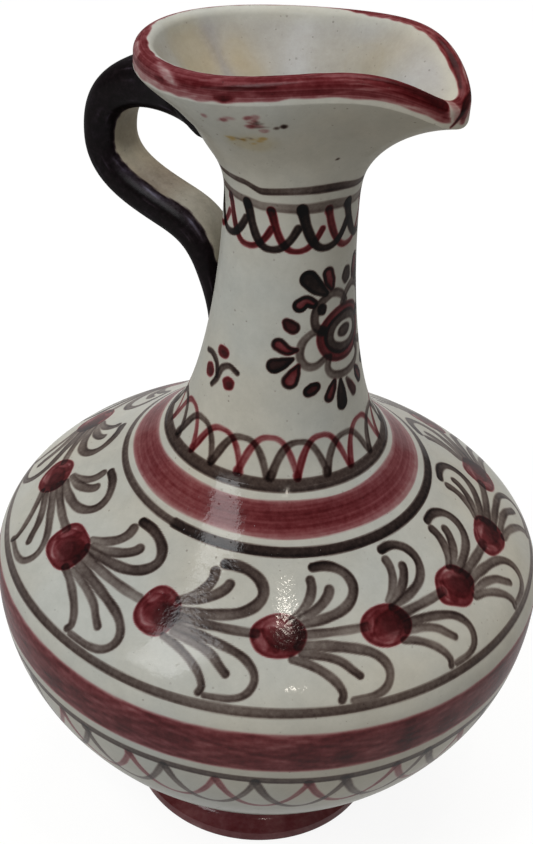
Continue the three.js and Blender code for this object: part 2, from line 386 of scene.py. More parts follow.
class Canvas:
    def __init__(self, place, heights, columns):
        self.place = place
        self.heights = heights
        self.angles = even_angles(columns)
        self.points = place(self.angles[None, :], heights[:, None])
        self.red, self.brown, self.stain = np.zeros((3, len(heights), columns))
        self.draws = np.random.default_rng(columns)

    def window(self, path, spots, margin):
        """Rows and columns within a margin of a path."""
        reach = np.degrees(margin / from_axis(spots).min())
        low, high = path.min(axis=0), path.max(axis=0)
        rows = (self.heights > low[1] - margin) & (self.heights < high[1] + margin)
        middle, half = (low[0] + high[0]) / 2, (high[0] - low[0]) / 2 + reach
        return np.ix_(rows, np.abs(signed(self.angles - middle)) < half)

    def lay(self, layer, where, load):
        """A second coat darkens the first, by less than its own load."""
        load = np.clip(load, 0, None)
        layer[where] = np.maximum(layer[where], load) + OVERLAP * np.minimum(layer[where], load)

    def brush(self, layer, knots, width, ink, soft=SOFT_EDGE, hollow=0.0):
        """One stroke through knots of angle and height. Width and ink run from its start to its end, and the
        ink gathers towards one side. A hollow stroke has less ink in its middle than at its edges."""
        path = through(knots, PATH_STEP)
        spots = self.place(path[:, 0], path[:, 1])
        waves = length_along(spots) / WAVE_LENGTH + self.draws.uniform(0, 1)
        half = spread_over(width, len(path)) / 2 * (1 + WIDTH_WAVE * np.sin(2 * np.pi * waves))
        load = spread_over(ink, len(path)) * (1 + INK_WAVE * np.sin(2 * np.pi * INK_WAVE_RATE * waves + 1))
        lean = INK_LEAN * self.draws.choice((-1, 1)) * self.draws.uniform(0.4, 1)
        where = self.window(path, spots, half.max() + 2 * soft)
        block = self.points[where]
        facing = block * (1, 1, 0) / from_axis(block)[..., None] + FACING_UP * UP
        gap = np.full(block.shape[:2], np.inf)
        cover = np.zeros(block.shape[:2])
        for i in range(len(spots) - 1):
            along = spots[i + 1] - spots[i]
            offset = block - spots[i]
            part = np.clip(offset @ along / max(along @ along, TINY), 0, 1)
            far = np.linalg.norm(offset - part[..., None] * along, axis=-1)
            far = far - lerp(half[i], half[i + 1], part)
            closer = far < gap
            gap[closer] = far[closer]
            side = (np.cross(along, offset[closer]) * facing[closer]).sum(axis=-1)
            side = np.clip(side / max(np.linalg.norm(along), TINY) / half[i], -1, 1)
            cover[closer] = lerp(load[i], load[i + 1], part[closer]) * (1 + lean * side)
        middle = 1 - hollow * smooth(*HOLLOW_STROKE, gap)
        self.lay(layer, where, cover * pooled(gap) * middle * smooth(soft, -soft, gap))

    def wipe(self, layer, knots, width, share, soft):
        """Lifts a share of the colour along a stroke."""
        lifted = np.zeros(layer.shape)
        self.brush(lifted, knots, width, share, soft)
        layer *= 1 - np.minimum(lifted, LIFT_LIMIT)

    def blob(self, layer, angle, height, wide, tall, ink, lean=0, soft=SOFT_EDGE, seed=0):
        """A dab of about that width and height, with an uneven edge."""
        spot = self.place(np.array([angle]), np.array([height]))
        size = max(wide, tall)
        path = np.array([[angle, height - size / 2], [angle, height + size / 2]])
        where = self.window(path, spot, size)
        across = np.radians(signed(self.angles - angle))[where[1]] * from_axis(spot)
        upward = (self.heights - height)[where[0]]
        cos, sin = heading(math.radians(lean))
        u = (across * cos + upward * sin) / (wide / 2)
        v = (upward * cos - across * sin) / (tall / 2)
        edge = 1 + DAB_UNEVEN * hand(np.degrees(np.arctan2(v, u)), seed, 2, 5)
        gap = (np.hypot(u, v) - edge) * min(wide, tall) / 2
        self.lay(layer, where, ink * pooled(gap) * smooth(soft, -soft, gap))

    def band(self, layer, low, high, ink, soft=SOFT_EDGE):
        """A band all round between two heights, which may change with the angle, as may the ink."""
        heights = self.heights[:, None]
        self.lay(layer, ..., ink * smooth(-soft, soft, heights - low) * smooth(-soft, soft, high - heights))


def wash(angles, heights, seed, pitch, depth, count, spread, fill):
    """A wash brushed on a pot that turns: fine lines along it, about a pitch apart, and a count of darker
    stretches where the brush was filled again."""
    draws = np.random.default_rng(seed)
    lines = 0
    for octave in STREAK_OCTAVES:
        drift = STREAK_DRIFT * hand(angles, draws.integers(1000), 1, 3)
        phase = draws.uniform(0, 2 * np.pi)
        lines = lines + np.sin(2 * np.pi * (heights[:, None] * octave / pitch + drift) + phase)
    draws = np.random.default_rng(seed + 1)
    filled = np.ones(len(angles))
    for start in draws.uniform(0, 360, count):
        wide = spread * draws.uniform(0.5, 1.5)
        filled += fill * draws.uniform(0.4, 1.2) * bell(signed(angles - start), wide)
    return (1 + depth * lines / len(STREAK_OCTAVES)) * filled


# The bands were drawn on a slightly tilted pot: they lie lowest at this angle
TILT_ANGLE = 29.4
LINE_EDGE = 0.35
LOOP_KNOTS = 11
LOOP_TAPER = np.array([1.3, 1.1, 0.85, 0.9, 1.05])
LOOP_INK = np.array([1.1, 0.9, 0.8, 0.9, 0.8])


def tilted(angles, amount):
    return amount * np.cos(np.radians(angles - TILT_ANGLE))


def line(canvas, middle, width, ink):
    """A brown line all round, fuller along its lower edge."""
    away = (canvas.heights[:, None] - middle) / width
    fuller = 1 + LINE_EDGE * smooth(0.0, 0.4, away if canvas.heights[0] > canvas.heights[-1] else -away)
    canvas.band(canvas.brown, middle - width / 2, middle + width / 2, ink * fuller)


def loops(canvas, colour, first, count, top, bottom, width, load, flat, seed, finish=0.0):
    """A chain of loops hung from points at one height, thick at the points and thin between them.
    Finish is the share of the depth at which each loop runs into the next."""
    layer = getattr(canvas, colour)
    draws = np.random.default_rng(seed)
    step = 360 / count
    share = np.linspace(0, 1, LOOP_KNOTS)
    hang = 1 - np.abs(2 * share - 1) ** flat * np.where(share > 0.5, 1 - finish, 1)
    for i in range(count):
        start = first + step * i + draws.uniform(-0.05, 0.05) * step
        span = step * draws.uniform(0.97, 1.04)
        depth = (bottom - top) * draws.uniform(0.94, 1.05)
        knots = np.stack([start + span * share, top + depth * hang], -1)
        full = load * draws.uniform(0.85, 1.12)
        canvas.brush(layer, knots, LOOP_TAPER * width, LOOP_INK * full)
        canvas.blob(layer, start, top + 0.05 * depth, width * 1.5, width * 1.4, full * 0.6, seed=seed + i)


# Garland on the shoulder: balls on a stem, each with three strokes above and three below.
# A ball is given by its angle, distance below the seam, width and height.
BALLS = [
    (-151, 36.0, 12.5, 10.5), (-121, 36.0, 13.4, 11.8), (-87, 34.9, 10.6, 12.0), (-56.7, 35.0, 12.9, 10.2),
    (-30, 36.0, 12.7, 10.1), (-6.3, 35.9, 12.4, 10.3), (17.3, 36.6, 12.6, 10.0), (44, 36.6, 13.0, 10.4),
    (71, 36.2, 12.4, 10.8), (98, 35.6, 12.0, 10.2), (127, 35.4, 12.8, 10.6), (154, 35.8, 11.8, 11.0),
    (181, 36.2, 12.6, 10.4),
]
BALL_RED = 0.95
BALL_SHADE = 0.42
LEAF_WIDTH = 2.55
# The garland's strokes, the stem first: knots as shares of the way to the next ball and distances below
# the seam, then taper and load
GARLAND = [
    ([(0.17, 34.8), (0.45, 34.7), (0.82, 35.0)], [1.0, 0.9, 0.95], [0.95, 0.9, 0.65]),
    ([(0.13, 31.2), (0.24, 29.2), (0.33, 26.6), (0.37, 24.0), (0.365, 22.3)],
     [0.7, 0.95, 0.95], [0.6, 0.85, 1.15]),
    ([(0.16, 31.6), (0.32, 29.8), (0.44, 27.9), (0.52, 26.0), (0.545, 24.8)],
     [0.7, 0.95, 0.95], [0.6, 0.9, 1.2]),
    ([(0.16, 33.0), (0.4, 32.0), (0.63, 30.5), (0.77, 28.1), (0.825, 25.2), (0.785, 22.3), (0.67, 20.3),
      (0.54, 19.5), (0.41, 19.6)], [0.8, 1.0, 1.0, 0.95, 0.92], [0.8, 0.95, 1.1, 1.25, 1.75]),
    ([(0.13, 40.2), (0.25, 41.3), (0.37, 43.4), (0.46, 46.0), (0.5, 48.6), (0.485, 50.0)],
     [0.75, 0.8, 0.7], [0.8, 0.75, 0.95]),
    ([(0.2, 39.0), (0.38, 39.8), (0.52, 41.5), (0.6, 43.8), (0.65, 45.3)],
     [0.75, 0.85, 0.75], [0.75, 0.8, 1.1]),
    ([(0.16, 36.8), (0.39, 37.3), (0.6, 38.6), (0.76, 40.5), (0.845, 43.2), (0.86, 46.0), (0.81, 48.7),
      (0.71, 50.0), (0.54, 50.2)], [0.9, 0.95, 0.85, 0.75, 0.6], [0.85, 0.95, 1.1, 0.9, 0.75]),
]
# Red lifted off a ball, then strokes laid on it: knots as shares of its half width and half height, widths
# as shares of its width, the share lifted or the load, and where needed a soft edge and a hollow
BALL_LIFTED = [
    ([(-0.5, -0.5), (-0.05, -0.64), (0.4, -0.4)], [0.08, 0.2, 0.08], [0.3, 0.5, 0.3]),
    ([(-0.55, 0.45), (-0.62, 0.0)], [0.12, 0.18], [0.4, 0.5]),
]
BALL_STROKES = [
    ([(-0.15, -0.25), (0.12, -0.05), (0.28, 0.2)], [0.4, 0.56, 0.4], [0.5, 0.4, 0.5], SOFT_EDGE, 0.6),
    ([(-0.6, -0.3), (-0.55, 0.2), (-0.2, 0.6)], [0.1, 0.2, 0.14], [0.5, 0.45, 0.6]),
    ([(0.0, 0.4), (0.4, 0.42), (0.64, 0.05)], [0.16, 0.28, 0.18], [0.6, 0.7, 0.4], 0.5),
]


def ball(canvas, angle, down, wide, tall, seed):
    """A round berry: a wash of red, partly lifted, under a petal, two curved strokes and a brown shade."""
    draws = np.random.default_rng(seed)
    radius = from_axis(canvas.place(angle, down))
    lean = draws.uniform(-35, 35)
    cos, sin = heading(math.radians(lean))
    flip = draws.choice((-1, 1))

    def placed(points):
        turned = [(x * cos - flip * y * sin, x * sin + flip * y * cos) for x, y in points]
        return [(angle + math.degrees(x * wide / 2 / radius), down + y * tall / 2) for x, y in turned]

    canvas.wipe(canvas.brown, placed([(-0.2, 0), (0.2, 0)]), [0.62 * tall], [0.6], 0.8)
    canvas.blob(canvas.red, angle, down, wide, tall, BALL_RED, seed=seed)
    for points, widths, share in BALL_LIFTED:
        canvas.wipe(canvas.red, placed(points), np.array(widths) * wide, share, 0.5)
    for points, widths, *load in BALL_STROKES:
        canvas.brush(canvas.red, placed(points), np.array(widths) * wide, *load)
    shade = (angle + 2.4, down + 0.5, wide * 0.55, tall * 0.5, BALL_SHADE)
    canvas.blob(canvas.brown, *shade, lean, 1.6, seed + 2)


def garland(canvas):
    starts = [angle for angle, *_ in BALLS]
    ends = starts[1:] + [starts[0] + 360]
    for start, end in zip(starts, ends):
        drop = tilted(start, 0.6) + rng.uniform(-0.3, 0.3)
        for i, (knots, taper, ink) in enumerate(GARLAND):
            loose = min(i, 1)
            shift = loose * np.array([rng.uniform(-0.018, 0.018), rng.uniform(-0.4, 0.4)])
            stretch = 1 + loose * rng.uniform(-0.03, 0.03)
            placed = [(start + (end - start) * (share * stretch + shift[0]), down + drop + shift[1])
                      for share, down in knots]
            width = LEAF_WIDTH * rng.uniform(0.9, 1.08) * np.array(taper)
            canvas.brush(canvas.brown, placed, width, np.array(ink) * rng.uniform(0.85, 1.15))
    for i, shape in enumerate(BALLS):
        ball(canvas, *shape, 40 + 3 * i)


# Bands and lines on the belly: distances below the seam, and loads of red
SHOULDER_BAND = (3.3, 12.2)
SHOULDER_RED = 0.74
SHOULDER_FULLER = 0.3
SHOULDER_THIN_EDGES = (2.2, 3.4)
SHOULDER_EDGE_SHARE = 0.52
SHOULDER_LINE = 15.3
GARLAND_LINE = 52.2
BELLY_BAND = (57.6, 69.0)
BELLY_RED = 0.9
BELLY_MOTTLE = 0.13
BELLY_LINE = 73.2
SWAG_BOTTOM = 88.2
SWAG_COUNT = 20
# Swags: layer, angle of the first, count, top, bottom, width, load, flatness and seed
SWAGS = [
    ("brown", -78, SWAG_COUNT, BELLY_LINE + 0.6, SWAG_BOTTOM, 1.7, 0.8, 2.2, 61),
    ("red", -68, SWAG_COUNT, BELLY_LINE + 1.2, SWAG_BOTTOM - 0.4, 1.5, 0.55, 2.2, 62),
]
BLOTCHES = 34
# Angles where the shoulder's red is fuller, with their spreads
FULLER_RED = [(-42, 36), (128, 45)]
# Angles over which the shoulder's line was drawn twice
SECOND_COAT = (-99, -97, 30, 60)


def paint_belly(canvas):
    angles = signed(canvas.angles)
    heights = canvas.heights[:, None]
    low, high = SHOULDER_BAND
    fuller = sum(near(angles, *place) for place in FULLER_RED)
    upper, lower = SHOULDER_THIN_EDGES
    body = smooth(0, upper, heights - low) * smooth(0, lower, high - heights)
    body = lerp(SHOULDER_EDGE_SHARE, 1.0, body)
    red = wash(canvas.angles, canvas.heights, seed=5, pitch=3.1, depth=0.24, count=7, spread=9, fill=0.1)
    top = low + 0.2 * hand(angles, 21)
    bottom = high + tilted(angles, 0.5) + 0.15 * hand(angles, 22)
    canvas.band(canvas.red, top, bottom, red * (SHOULDER_RED + SHOULDER_FULLER * fuller) * body)
    low, high = BELLY_BAND
    mottle = hand(angles + 3 * heights, 95, 9, 60) + hand(angles - 4 * heights, 96, 9, 60)
    red = wash(canvas.angles, canvas.heights, seed=8, pitch=2.3, depth=0.1, count=26, spread=2.4, fill=0.15)
    top = low + tilted(angles, 1.3) + 0.25 * hand(angles, 23)
    bottom = high + tilted(angles, 0.7) + 0.5 * hand(angles, 24, 2, 5)
    canvas.band(canvas.red, top, bottom, BELLY_RED * red * (1 + BELLY_MOTTLE * mottle), 0.7)
    for i in range(BLOTCHES):
        across = 360 / BLOTCHES * (i + rng.uniform(-0.3, 0.3))
        down = rng.uniform(low + 4, high - 3) + tilted(across, 1.0)
        wide, tall = rng.uniform(3, 8), rng.uniform(3, 7.5)
        ink, lean = rng.uniform(0.5, 1.05), rng.uniform(-30, 30)
        canvas.blob(canvas.red, across, down, wide, tall, ink, lean, 1.6, 100 + i)
    second = between(*SECOND_COAT, angles)
    line(canvas, SHOULDER_LINE + tilted(angles, 0.9), 1.8 + 0.6 * second, 1.15 + 0.75 * second)
    middle = GARLAND_LINE + tilted(angles, 0.6) + 0.12 * hand(angles, 25)
    line(canvas, middle, 2.1 + 0.15 * hand(angles, 26), 1.0 + 0.14 * hand(angles, 27, 3, 9))
    line(canvas, BELLY_LINE + tilted(angles, 1.0) + 0.3 * hand(angles, 28), 2.2, 1.05)
    line(canvas, 0.0, 2.6, 1.35)
    for swag in SWAGS:
        loops(canvas, *swag)
    garland(canvas)


# Neck: loops under two lines, a flower below the lip, a sprig on each side, arches at the foot
LOOP_COUNT = 8
LOOP_TOP = 180.6
LOOP_BOTTOM = 171.7
ARCH_COUNT = 11
ARCH_FOOT = 117.6
ARCH_TOP = 125.4
# Loops and arches: layer, angle of the first, count, start, end, width, load, flatness, seed and, for the
# loops, finish
CHAINS = [
    ("red", -119.5, LOOP_COUNT, LOOP_TOP, LOOP_BOTTOM - 0.4, 1.4, 1.15, 2.4, 35, 0.45),
    ("brown", -97, LOOP_COUNT, LOOP_TOP + 0.7, LOOP_BOTTOM, 1.75, 2.3, 2.4, 36, 0.45),
    ("red", -112, ARCH_COUNT, ARCH_FOOT, ARCH_TOP + 0.4, 1.4, 0.7, 2.7, 37),
    ("brown", -96, ARCH_COUNT, ARCH_FOOT, ARCH_TOP - 0.4, 1.6, 1.05, 2.7, 38),
]
FLOWER_ANGLE = -5
FLOWER_Z = 149.2
# Lines below the rim: height, rise beside the handle, unsteadiness, seed, width, ink and change of ink
NECK_LINES = [(186.0, 2.4, 0.3, 31, 2.1, 1.2, 0.16), (181.4, 0.9, 0.25, 33, 2.3, 0.66, 0.1)]
RISE_ANGLES = (-185, -150, -100, -82)
RING_KNOTS = 17
# Dabs of brown: angle, height up the neck, width, height and load
EYE = (FLOWER_ANGLE, FLOWER_Z + 0.2, 4.6, 3.1, 1.4)
PETAL_DAB = (-29, 156.6, 2.4, 2.8, 2.4)
TOP_DROP = (FLOWER_ANGLE + 3, 163, 3.4, 4.2, 1.5)
# Rings round the flower's eye: layer, half width in degrees and half height, widths and loads
RINGS = [
    ("red", (23.5, 5.8), [1.8, 2.8, 1.8], [0.8, 1.1, 0.8]),
    ("brown", (17, 3.9), [2.2, 2.7, 2.0], [1.2, 1.5, 1.2]),
    ("brown", (25.5, 6.6), [0.8, 1.2, 0.7], [0.6, 0.3, 0.6]),
]
# Petals on both sides and at the foot: knots of angle and height, widths and loads
PETALS = [
    ([(-27, 151.2), (-34, 152.6), (-35, 155.6), (-30, 158.2), (-19, 159.9), (-9, 158.9), (-3, 156.6)],
     [2.0, 2.2, 1.8], [1.6, 1.0, 0.9]),
    ([(-27, 150.8), (-36, 151.3), (-44.5, 149.2), (-46.5, 146), (-42, 143.4), (-34, 142.9), (-25, 144.4)],
     [1.8, 2.0, 1.8], [0.9, 0.8, 0.9]),
]
FOOT_PETAL = (
    [(-22, 144.3), (-23.5, 141.6), (-18, 139.5), (-5, 138.7), (8, 139.5), (13.5, 141.6), (12, 144.3)],
    [1.8, 2.1, 1.8], [0.9, 0.8, 0.9],
)
# Drops on both sides: load of brown, load of red, hollow, knots and widths
DROPS = [
    (3.4, 0.0, 0.3, [(-26, 160.4), (-34, 162.2), (-42, 164.6)], [1.8, 3.2, 4.2]),
    (1.6, 0.85, 0.92, [(-20, 161.6), (-22, 163.2), (-24, 165.2)], [1.8, 3.2, 3.0]),
    (2.8, 0.85, 0.95, [(-37, 158.4), (-43, 159.2), (-48, 158.3)], [2.2, 2.6, 3.4]),
    (1.4, 0.8, 0.3, [(-58, 154.2), (-55, 153.3), (-52.5, 152.8)], [2.0, 3.2, 3.2]),
    (1.5, 0.9, 0.95, [(-49, 147.4), (-56, 147.3), (-63, 148.6)], [1.0, 2.4, 3.2]),
    (2.8, 0.3, 0.3, [(-52, 145.2), (-60, 144.0), (-65, 143.4)], [0.9, 2.6, 3.8]),
    (1.6, 0.95, 0.97, [(-47.5, 143.4), (-51, 141.2), (-53, 139.9)], [1.2, 3.0, 3.8]),
    (2.5, 0.7, 0.6, [(-34, 137.7), (-37, 137.3), (-39, 137.0)], [2.4, 3.0, 2.8]),
    (1.8, 0.9, 0.8, [(-18, 137.8), (-21, 135.9), (-23, 134.6)], [1.3, 2.7, 2.9]),
]
# Single strokes below the flower: layer, knots, widths, loads, and where needed a soft edge and a hollow
BELOW_FLOWER = [
    ("brown", [(-12, 137.4), (-12, 135), (-12, 131.8)], [1.1, 2.6, 3.4], [2.4, 2.7, 2.9], SOFT_EDGE, 0.2),
    ("brown", [(-5, 137), (-2, 135.2), (2, 132.8)], [0.9, 2.1, 2.5], [0.9, 1.1, 1.0]),
    ("red", [(-4, 136.2), (-2, 135.2), (2, 133)], [0.8, 1.9, 2.2], [0.4, 0.5, 0.5]),
]
# Sprig: knots of its stems, their widths and loads, then its dots by angle, height up the neck and size
STEMS = [
    [(-129, 140), (-121, 140.5), (-113.5, 139.3), (-110, 136.4)],
    [(-92.5, 139.4), (-100, 140.2), (-107, 138.7), (-110, 135.6), (-113.5, 133.6)],
]
STEM_STROKE = ([1.2, 1.4, 1.7, 1.3], [1.6, 1.2, 1.4])
DOTS = [(-108.5, 142.7, 3.9, 3.0), (-119.5, 136.4, 3.3, 3.6), (-98.5, 136.1, 3.5, 3.1)]
SIDES = (1, -1)


def mirrored(angle, side):
    """The same angle on side 1, and its mirror image across the flower on side -1."""
    return FLOWER_ANGLE + side * (angle - FLOWER_ANGLE)


def on_side(knots, side):
    return [(mirrored(angle, side), z) for angle, z in knots]


def flower(canvas):
    """Five looped petals round a ringed eye, with a wreath of drops."""
    red, brown = canvas.red, canvas.brown
    centre = np.array([FLOWER_ANGLE, FLOWER_Z])
    circle = np.array([heading(turn) for turn in np.linspace(0, 2 * math.pi, RING_KNOTS)])
    for layer, half, *stroke in RINGS:
        canvas.brush(getattr(canvas, layer), centre + circle * half, *stroke)
    canvas.blob(brown, *EYE, seed=71)
    for knots, *stroke in PETALS:
        for side in SIDES:
            canvas.brush(brown, on_side(knots, side), *stroke)
    canvas.brush(brown, *FOOT_PETAL)
    canvas.blob(brown, *PETAL_DAB, seed=72)
    for brown_load, red_load, hollow, knots, widths in DROPS:
        for side in SIDES:
            placed = on_side(knots, side)
            canvas.brush(red, placed, np.array(widths) * 0.9, [red_load])
            canvas.brush(brown, placed, widths, np.array([0.8, 0.9, 1]) * brown_load, hollow=hollow)
    canvas.blob(brown, *TOP_DROP, seed=73)
    for layer, *stroke in BELOW_FLOWER:
        canvas.brush(getattr(canvas, layer), *stroke)


def sprig(canvas, side):
    """Two curved stems with three red dots."""
    for knots in STEMS:
        canvas.brush(canvas.brown, on_side(knots, side), *STEM_STROKE)
    for seed, (drawn, z, wide, tall) in enumerate(DOTS):
        angle = mirrored(drawn, side)
        canvas.blob(canvas.red, angle, z, wide, tall, 1.0, seed=80 + seed)
        canvas.blob(canvas.brown, angle + 1, z - 0.2, wide * 0.6, tall * 0.5, 0.5, 0, 0.5, 84 + seed)


# Rim: edges of its red, as distances along the skin from the start of the roll, and its load
RIM_OUTER = -1.6
RIM_INNER = 4.3
RIM_LOAD = 0.86
# Its strokes: knots of angle and such a distance, widths, loads and, where needed, a soft edge
RIM_WORN = [
    ([(-118, 2.6), (-112, 1.5), (-104, 0.0)], [1.2, 2.4, 1.6], [0.4, 0.6, 0.45], 0.9),
    ([(-147, 1.8), (-137, 1.1)], [2.0, 2.6], [0.5, 0.55], 0.9),
    ([(-152, -1.4), (-130, -1.7), (-112, -1.5)], [1.6, 1.9, 1.4], [0.3, 0.5, 0.3], 0.8),
    ([(-31, -1.1), (-20, -1.0), (-12, -0.8)], [0.7, 1.0, 0.8], [0.2, 0.4, 0.3], 0.5),
    ([(-6.8, 3.6), (-6.2, 1.4), (-5.2, -1.8)], [2.4, 3.4, 2.8], [0.5, 0.78, 0.85], 0.6),
    ([(5, 0.2), (3.5, -0.8), (1.5, -1.8)], [1.6, 2.4, 2.2], [0.5, 0.7, 0.8], 0.7),
]
RIM_SCRATCHES = [(12, 2.3), (17, 1.5), (22, 2.5), (29, 1.9)]
LIP_CORNER = [(11, 0.4), (5, 1.8), (-1, 1.2), (-7.6, -2.4)]
RIM_RED = [
    ([(-36, 2.1), (-22, 2.1), (-11.5, 1.8)], [1.4, 2.8, 3.4], [0.3, 0.7, 0.95]),
    ([(9, 3.9), (20, 4.1), (33, 4.3)], [0.8, 1.5, 0.7], [0.9, 1.0, 0.6]),
    ([(-104, 0.7), (-97, 0.9), (-88, 1.0)], [1.2, 1.9, 1.0], [0.4, 0.8, 0.3], 0.5),
    ([(-116, -0.2), (-112, -0.4), (-108, -0.7)], [1.0, 1.8, 0.8], [0.5, 0.8, 0.4], 0.5),
    ([(-86, -1.3), (-83, -1.4), (-79, -1.1)], [0.9, 1.5, 0.9], [0.8, 1.1, 0.6], 0.45),
    (LIP_CORNER, [1.6, 1.9, 1.5, 0.3], [0.9, 0.8, 0.9, 0.9]),
]
RIM_BROWN = [
    (LIP_CORNER, [1.2, 1.5, 1.2, 0.3], [0.4, 0.35, 0.5, 0.6]),
    ([(-92, 0.4), (-80, 0.7), (-64, 0.9)], [0.4, 1.0, 0.4], [0.3, 0.5, 0.3]),
    ([(-30, 2.4), (-20, 2.4), (-12, 2.0)], [0.6, 1.6, 2.2], [0.15, 0.3, 0.35], 0.5),
]


def paint_rim(canvas):
    """The red of the rim: streaked, thin at its lower edge, rubbed in places and nearly bare at the tip."""
    angles = signed(canvas.angles)
    heights = canvas.heights[:, None] - ROLL_START
    far = np.maximum(smooth(80, 100, angles), smooth(-164, -170, angles))
    outer = RIM_OUTER - 0.75 * smooth(-62, -88, angles) + 0.25 * hand(angles, 91, 4, 40)
    inner = RIM_INNER + between(8, 20, 66, 92, angles) - 0.72 * far + 0.13 * hand(angles, 92, 8, 50)
    mottle = hand(angles + 5 * heights, 93, 4, 40) + hand(angles - 8 * heights, 94, 6, 50)
    red = wash(canvas.angles, canvas.heights, seed=12, pitch=1.5, depth=0.3, count=12, spread=7, fill=0.2)
    red = red * (1 - 0.4 * smooth(0.2, 2.4, mottle)) * (1 - 0.3 * far)
    red = red * (1 - 0.4 * smooth(-0.5, -1.7, heights))
    canvas.band(canvas.red, ROLL_START + outer, ROLL_START + inner, RIM_LOAD * red, 0.28)

    def strokes(layer, rows):
        for knots, *stroke in rows:
            canvas.brush(layer, [(angle, ROLL_START + up) for angle, up in knots], *stroke)

    worn = np.zeros(canvas.red.shape)
    strokes(worn, RIM_WORN)
    for angle, up in RIM_SCRATCHES:
        knots = [(angle, up), (angle + 5, up + 0.1), (angle + 9, up - 0.2)]
        strokes(worn, [(knots, [0.3, 0.7, 0.3], [0.55], 0.25)])
    canvas.red *= 1 - np.minimum(worn, LIFT_LIMIT)
    strokes(canvas.red, RIM_RED)
    strokes(canvas.brown, RIM_BROWN)


# Smears on the flare: layer, angle, share of the flare, spread across and upwards, count, size, load, seed
SMUDGES = [
    ("red", -72.5, 0.86, 2.2, 2.6, 9, 1.7, 0.3, 51),
    ("brown", -72, 0.855, 1.2, 1.5, 6, 1.0, 0.45, 52),
    ("red", -86, 0.89, 2.6, 0.9, 6, 1.3, 0.2, 53),
    ("stain", -80.5, 0.7, 3.4, 1.3, 10, 1.5, 0.6, 55),
    ("brown", -81, 0.705, 2.6, 0.7, 5, 0.7, 0.3, 56),
]
# Single dabs on the flare: layer, angle, share of the flare, width, height, load, soft edge and seed
DABS = [
    ("brown", -61.5, 0.82, 1.1, 1.6, 1.4, 0.35, 53),
    ("brown", -64.5, 0.81, 0.9, 1.2, 0.8, 0.35, 54),
    ("stain", -78, 0.66, 8.0, 7.0, 0.2, 2.4, 56),
    ("brown", -32, 0.37, 0.7, 0.7, 1.2, 0.25, 57),
]
# Inside the mouth: angle and spread of a painted shadow streak, the brown laid all over as painted shade,
# and the brown added in the streak
MOUTH_SHADE = (156, 5)
MOUTH_PAINTED_SHADE = 0.12
MOUTH_SHADE_BROWN = 0.13
# Warm clouds inside the mouth: angle, distance past the roll, width, height and load
WARM_INSIDE = [(174, 8, 18, 18, 0.19), (143, 13, 9, 14, 0.16), (62, 13, 9, 16, 0.12)]


def smudge(canvas, layer, angle, height, across, upward, count, size, load, seed):
    """A smear made of small uneven dabs, spread by about the given millimetres."""
    draws = np.random.default_rng(seed)
    radius = from_axis(canvas.place(angle, height))
    for i in range(count):
        placed = angle + math.degrees(draws.normal() * across / 2 / radius)
        up = height + draws.normal() * upward / 2
        wide, tall = size * draws.uniform(0.5, 1.5), size * draws.uniform(0.4, 1.1)
        ink, lean = load * draws.uniform(0.5, 1.3), draws.uniform(-40, 40)
        canvas.blob(layer, placed, up, wide, tall, ink, lean, 0.45, seed + i)


def paint_neck(canvas):
    angles = signed(canvas.angles)
    for z, rise, sway, seed, width, ink, change in NECK_LINES:
        middle = z + rise * between(*RISE_ANGLES, angles) + sway * hand(angles, seed, 2, 6)
        line(canvas, middle, width, ink + change * hand(angles, seed + 1, 3, 9))
    for shape in CHAINS:
        loops(canvas, *shape)
    line(canvas, SEAM_Z, 2.8, 1.35)
    flower(canvas)
    for side in SIDES:
        sprig(canvas, side)
    paint_rim(canvas)
    for layer, angle, share, *shape in SMUDGES:
        smudge(canvas, getattr(canvas, layer), angle, THROAT_Z + FLARE_SPAN * share, *shape)
    for layer, angle, share, wide, tall, load, soft, seed in DABS:
        up = THROAT_Z + FLARE_SPAN * share
        canvas.blob(getattr(canvas, layer), angle, up, wide, tall, load, 0, soft, seed)
    for angle, deep, wide, tall, load in WARM_INSIDE:
        canvas.blob(canvas.stain, angle, ROLL_END + deep, wide, tall, load, 0, 4.5, 58 + angle)
    # A brown wash all over the inside of the mouth is painted shade, and the streak at the shade's angle is
    # a painted shadow, browner and cooler
    within = smooth(ROLL_END - 3, ROLL_END + 3, canvas.heights)[:, None]
    shade = near(angles, *MOUTH_SHADE)
    cool = 0.06 * between(30, 70, 120, 150, angles) + 0.06 * near(angles, 5, 40) + 0.09 * shade
    canvas.stain -= within * (cool + 0.03 * hand(angles, 60, 2, 9))
    canvas.brown += within * (MOUTH_PAINTED_SHADE + MOUTH_SHADE_BROWN * shade)


# Meshes
SHARP_ANGLE = math.radians(50)
BARE = np.array([0, 0, 0, 1.0])


def put(name, data):
    made = bpy.data.objects.new(name, data)
    bpy.context.scene.collection.objects.link(made)
    return made


def make_skin(node, points, faces, paint, material):
    """A smooth mesh in place of a node, from points in millimetres and blocks of faces by corner numbers.
    Points past the end of the paint stay bare."""
    mesh = bpy.data.meshes.new(node + "_skin")
    corners = [face for block in faces for face in block.tolist()]
    mesh.from_pydata((points * MM).tolist(), [], corners, shade_flat=False)
    mesh.set_sharp_from_angle(angle=SHARP_ANGLE)
    paint = np.concatenate([paint, np.tile(BARE, (len(points) - len(paint), 1))])
    layer = mesh.color_attributes.new(name="paint", type="FLOAT_COLOR", domain="POINT")
    layer.data.foreach_set("color", paint.astype(np.float32).ravel())
    mesh.materials.append(material)
    piece = put(node + "_skin", mesh)
    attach(piece, "root")
    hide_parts(node)


def grid_faces(rows, columns, closed):
    """Quads between rows that run upwards, wrapped round the columns. A closed grid joins last to first."""
    row = np.arange(rows if closed else rows - 1)[:, None]
    column = np.arange(columns)[None, :]
    here, above = row * columns, (row + 1) % rows * columns
    after = (column + 1) % columns
    return np.stack([here + column, here + after, above + after, above + column], -1).reshape(-1, 4)


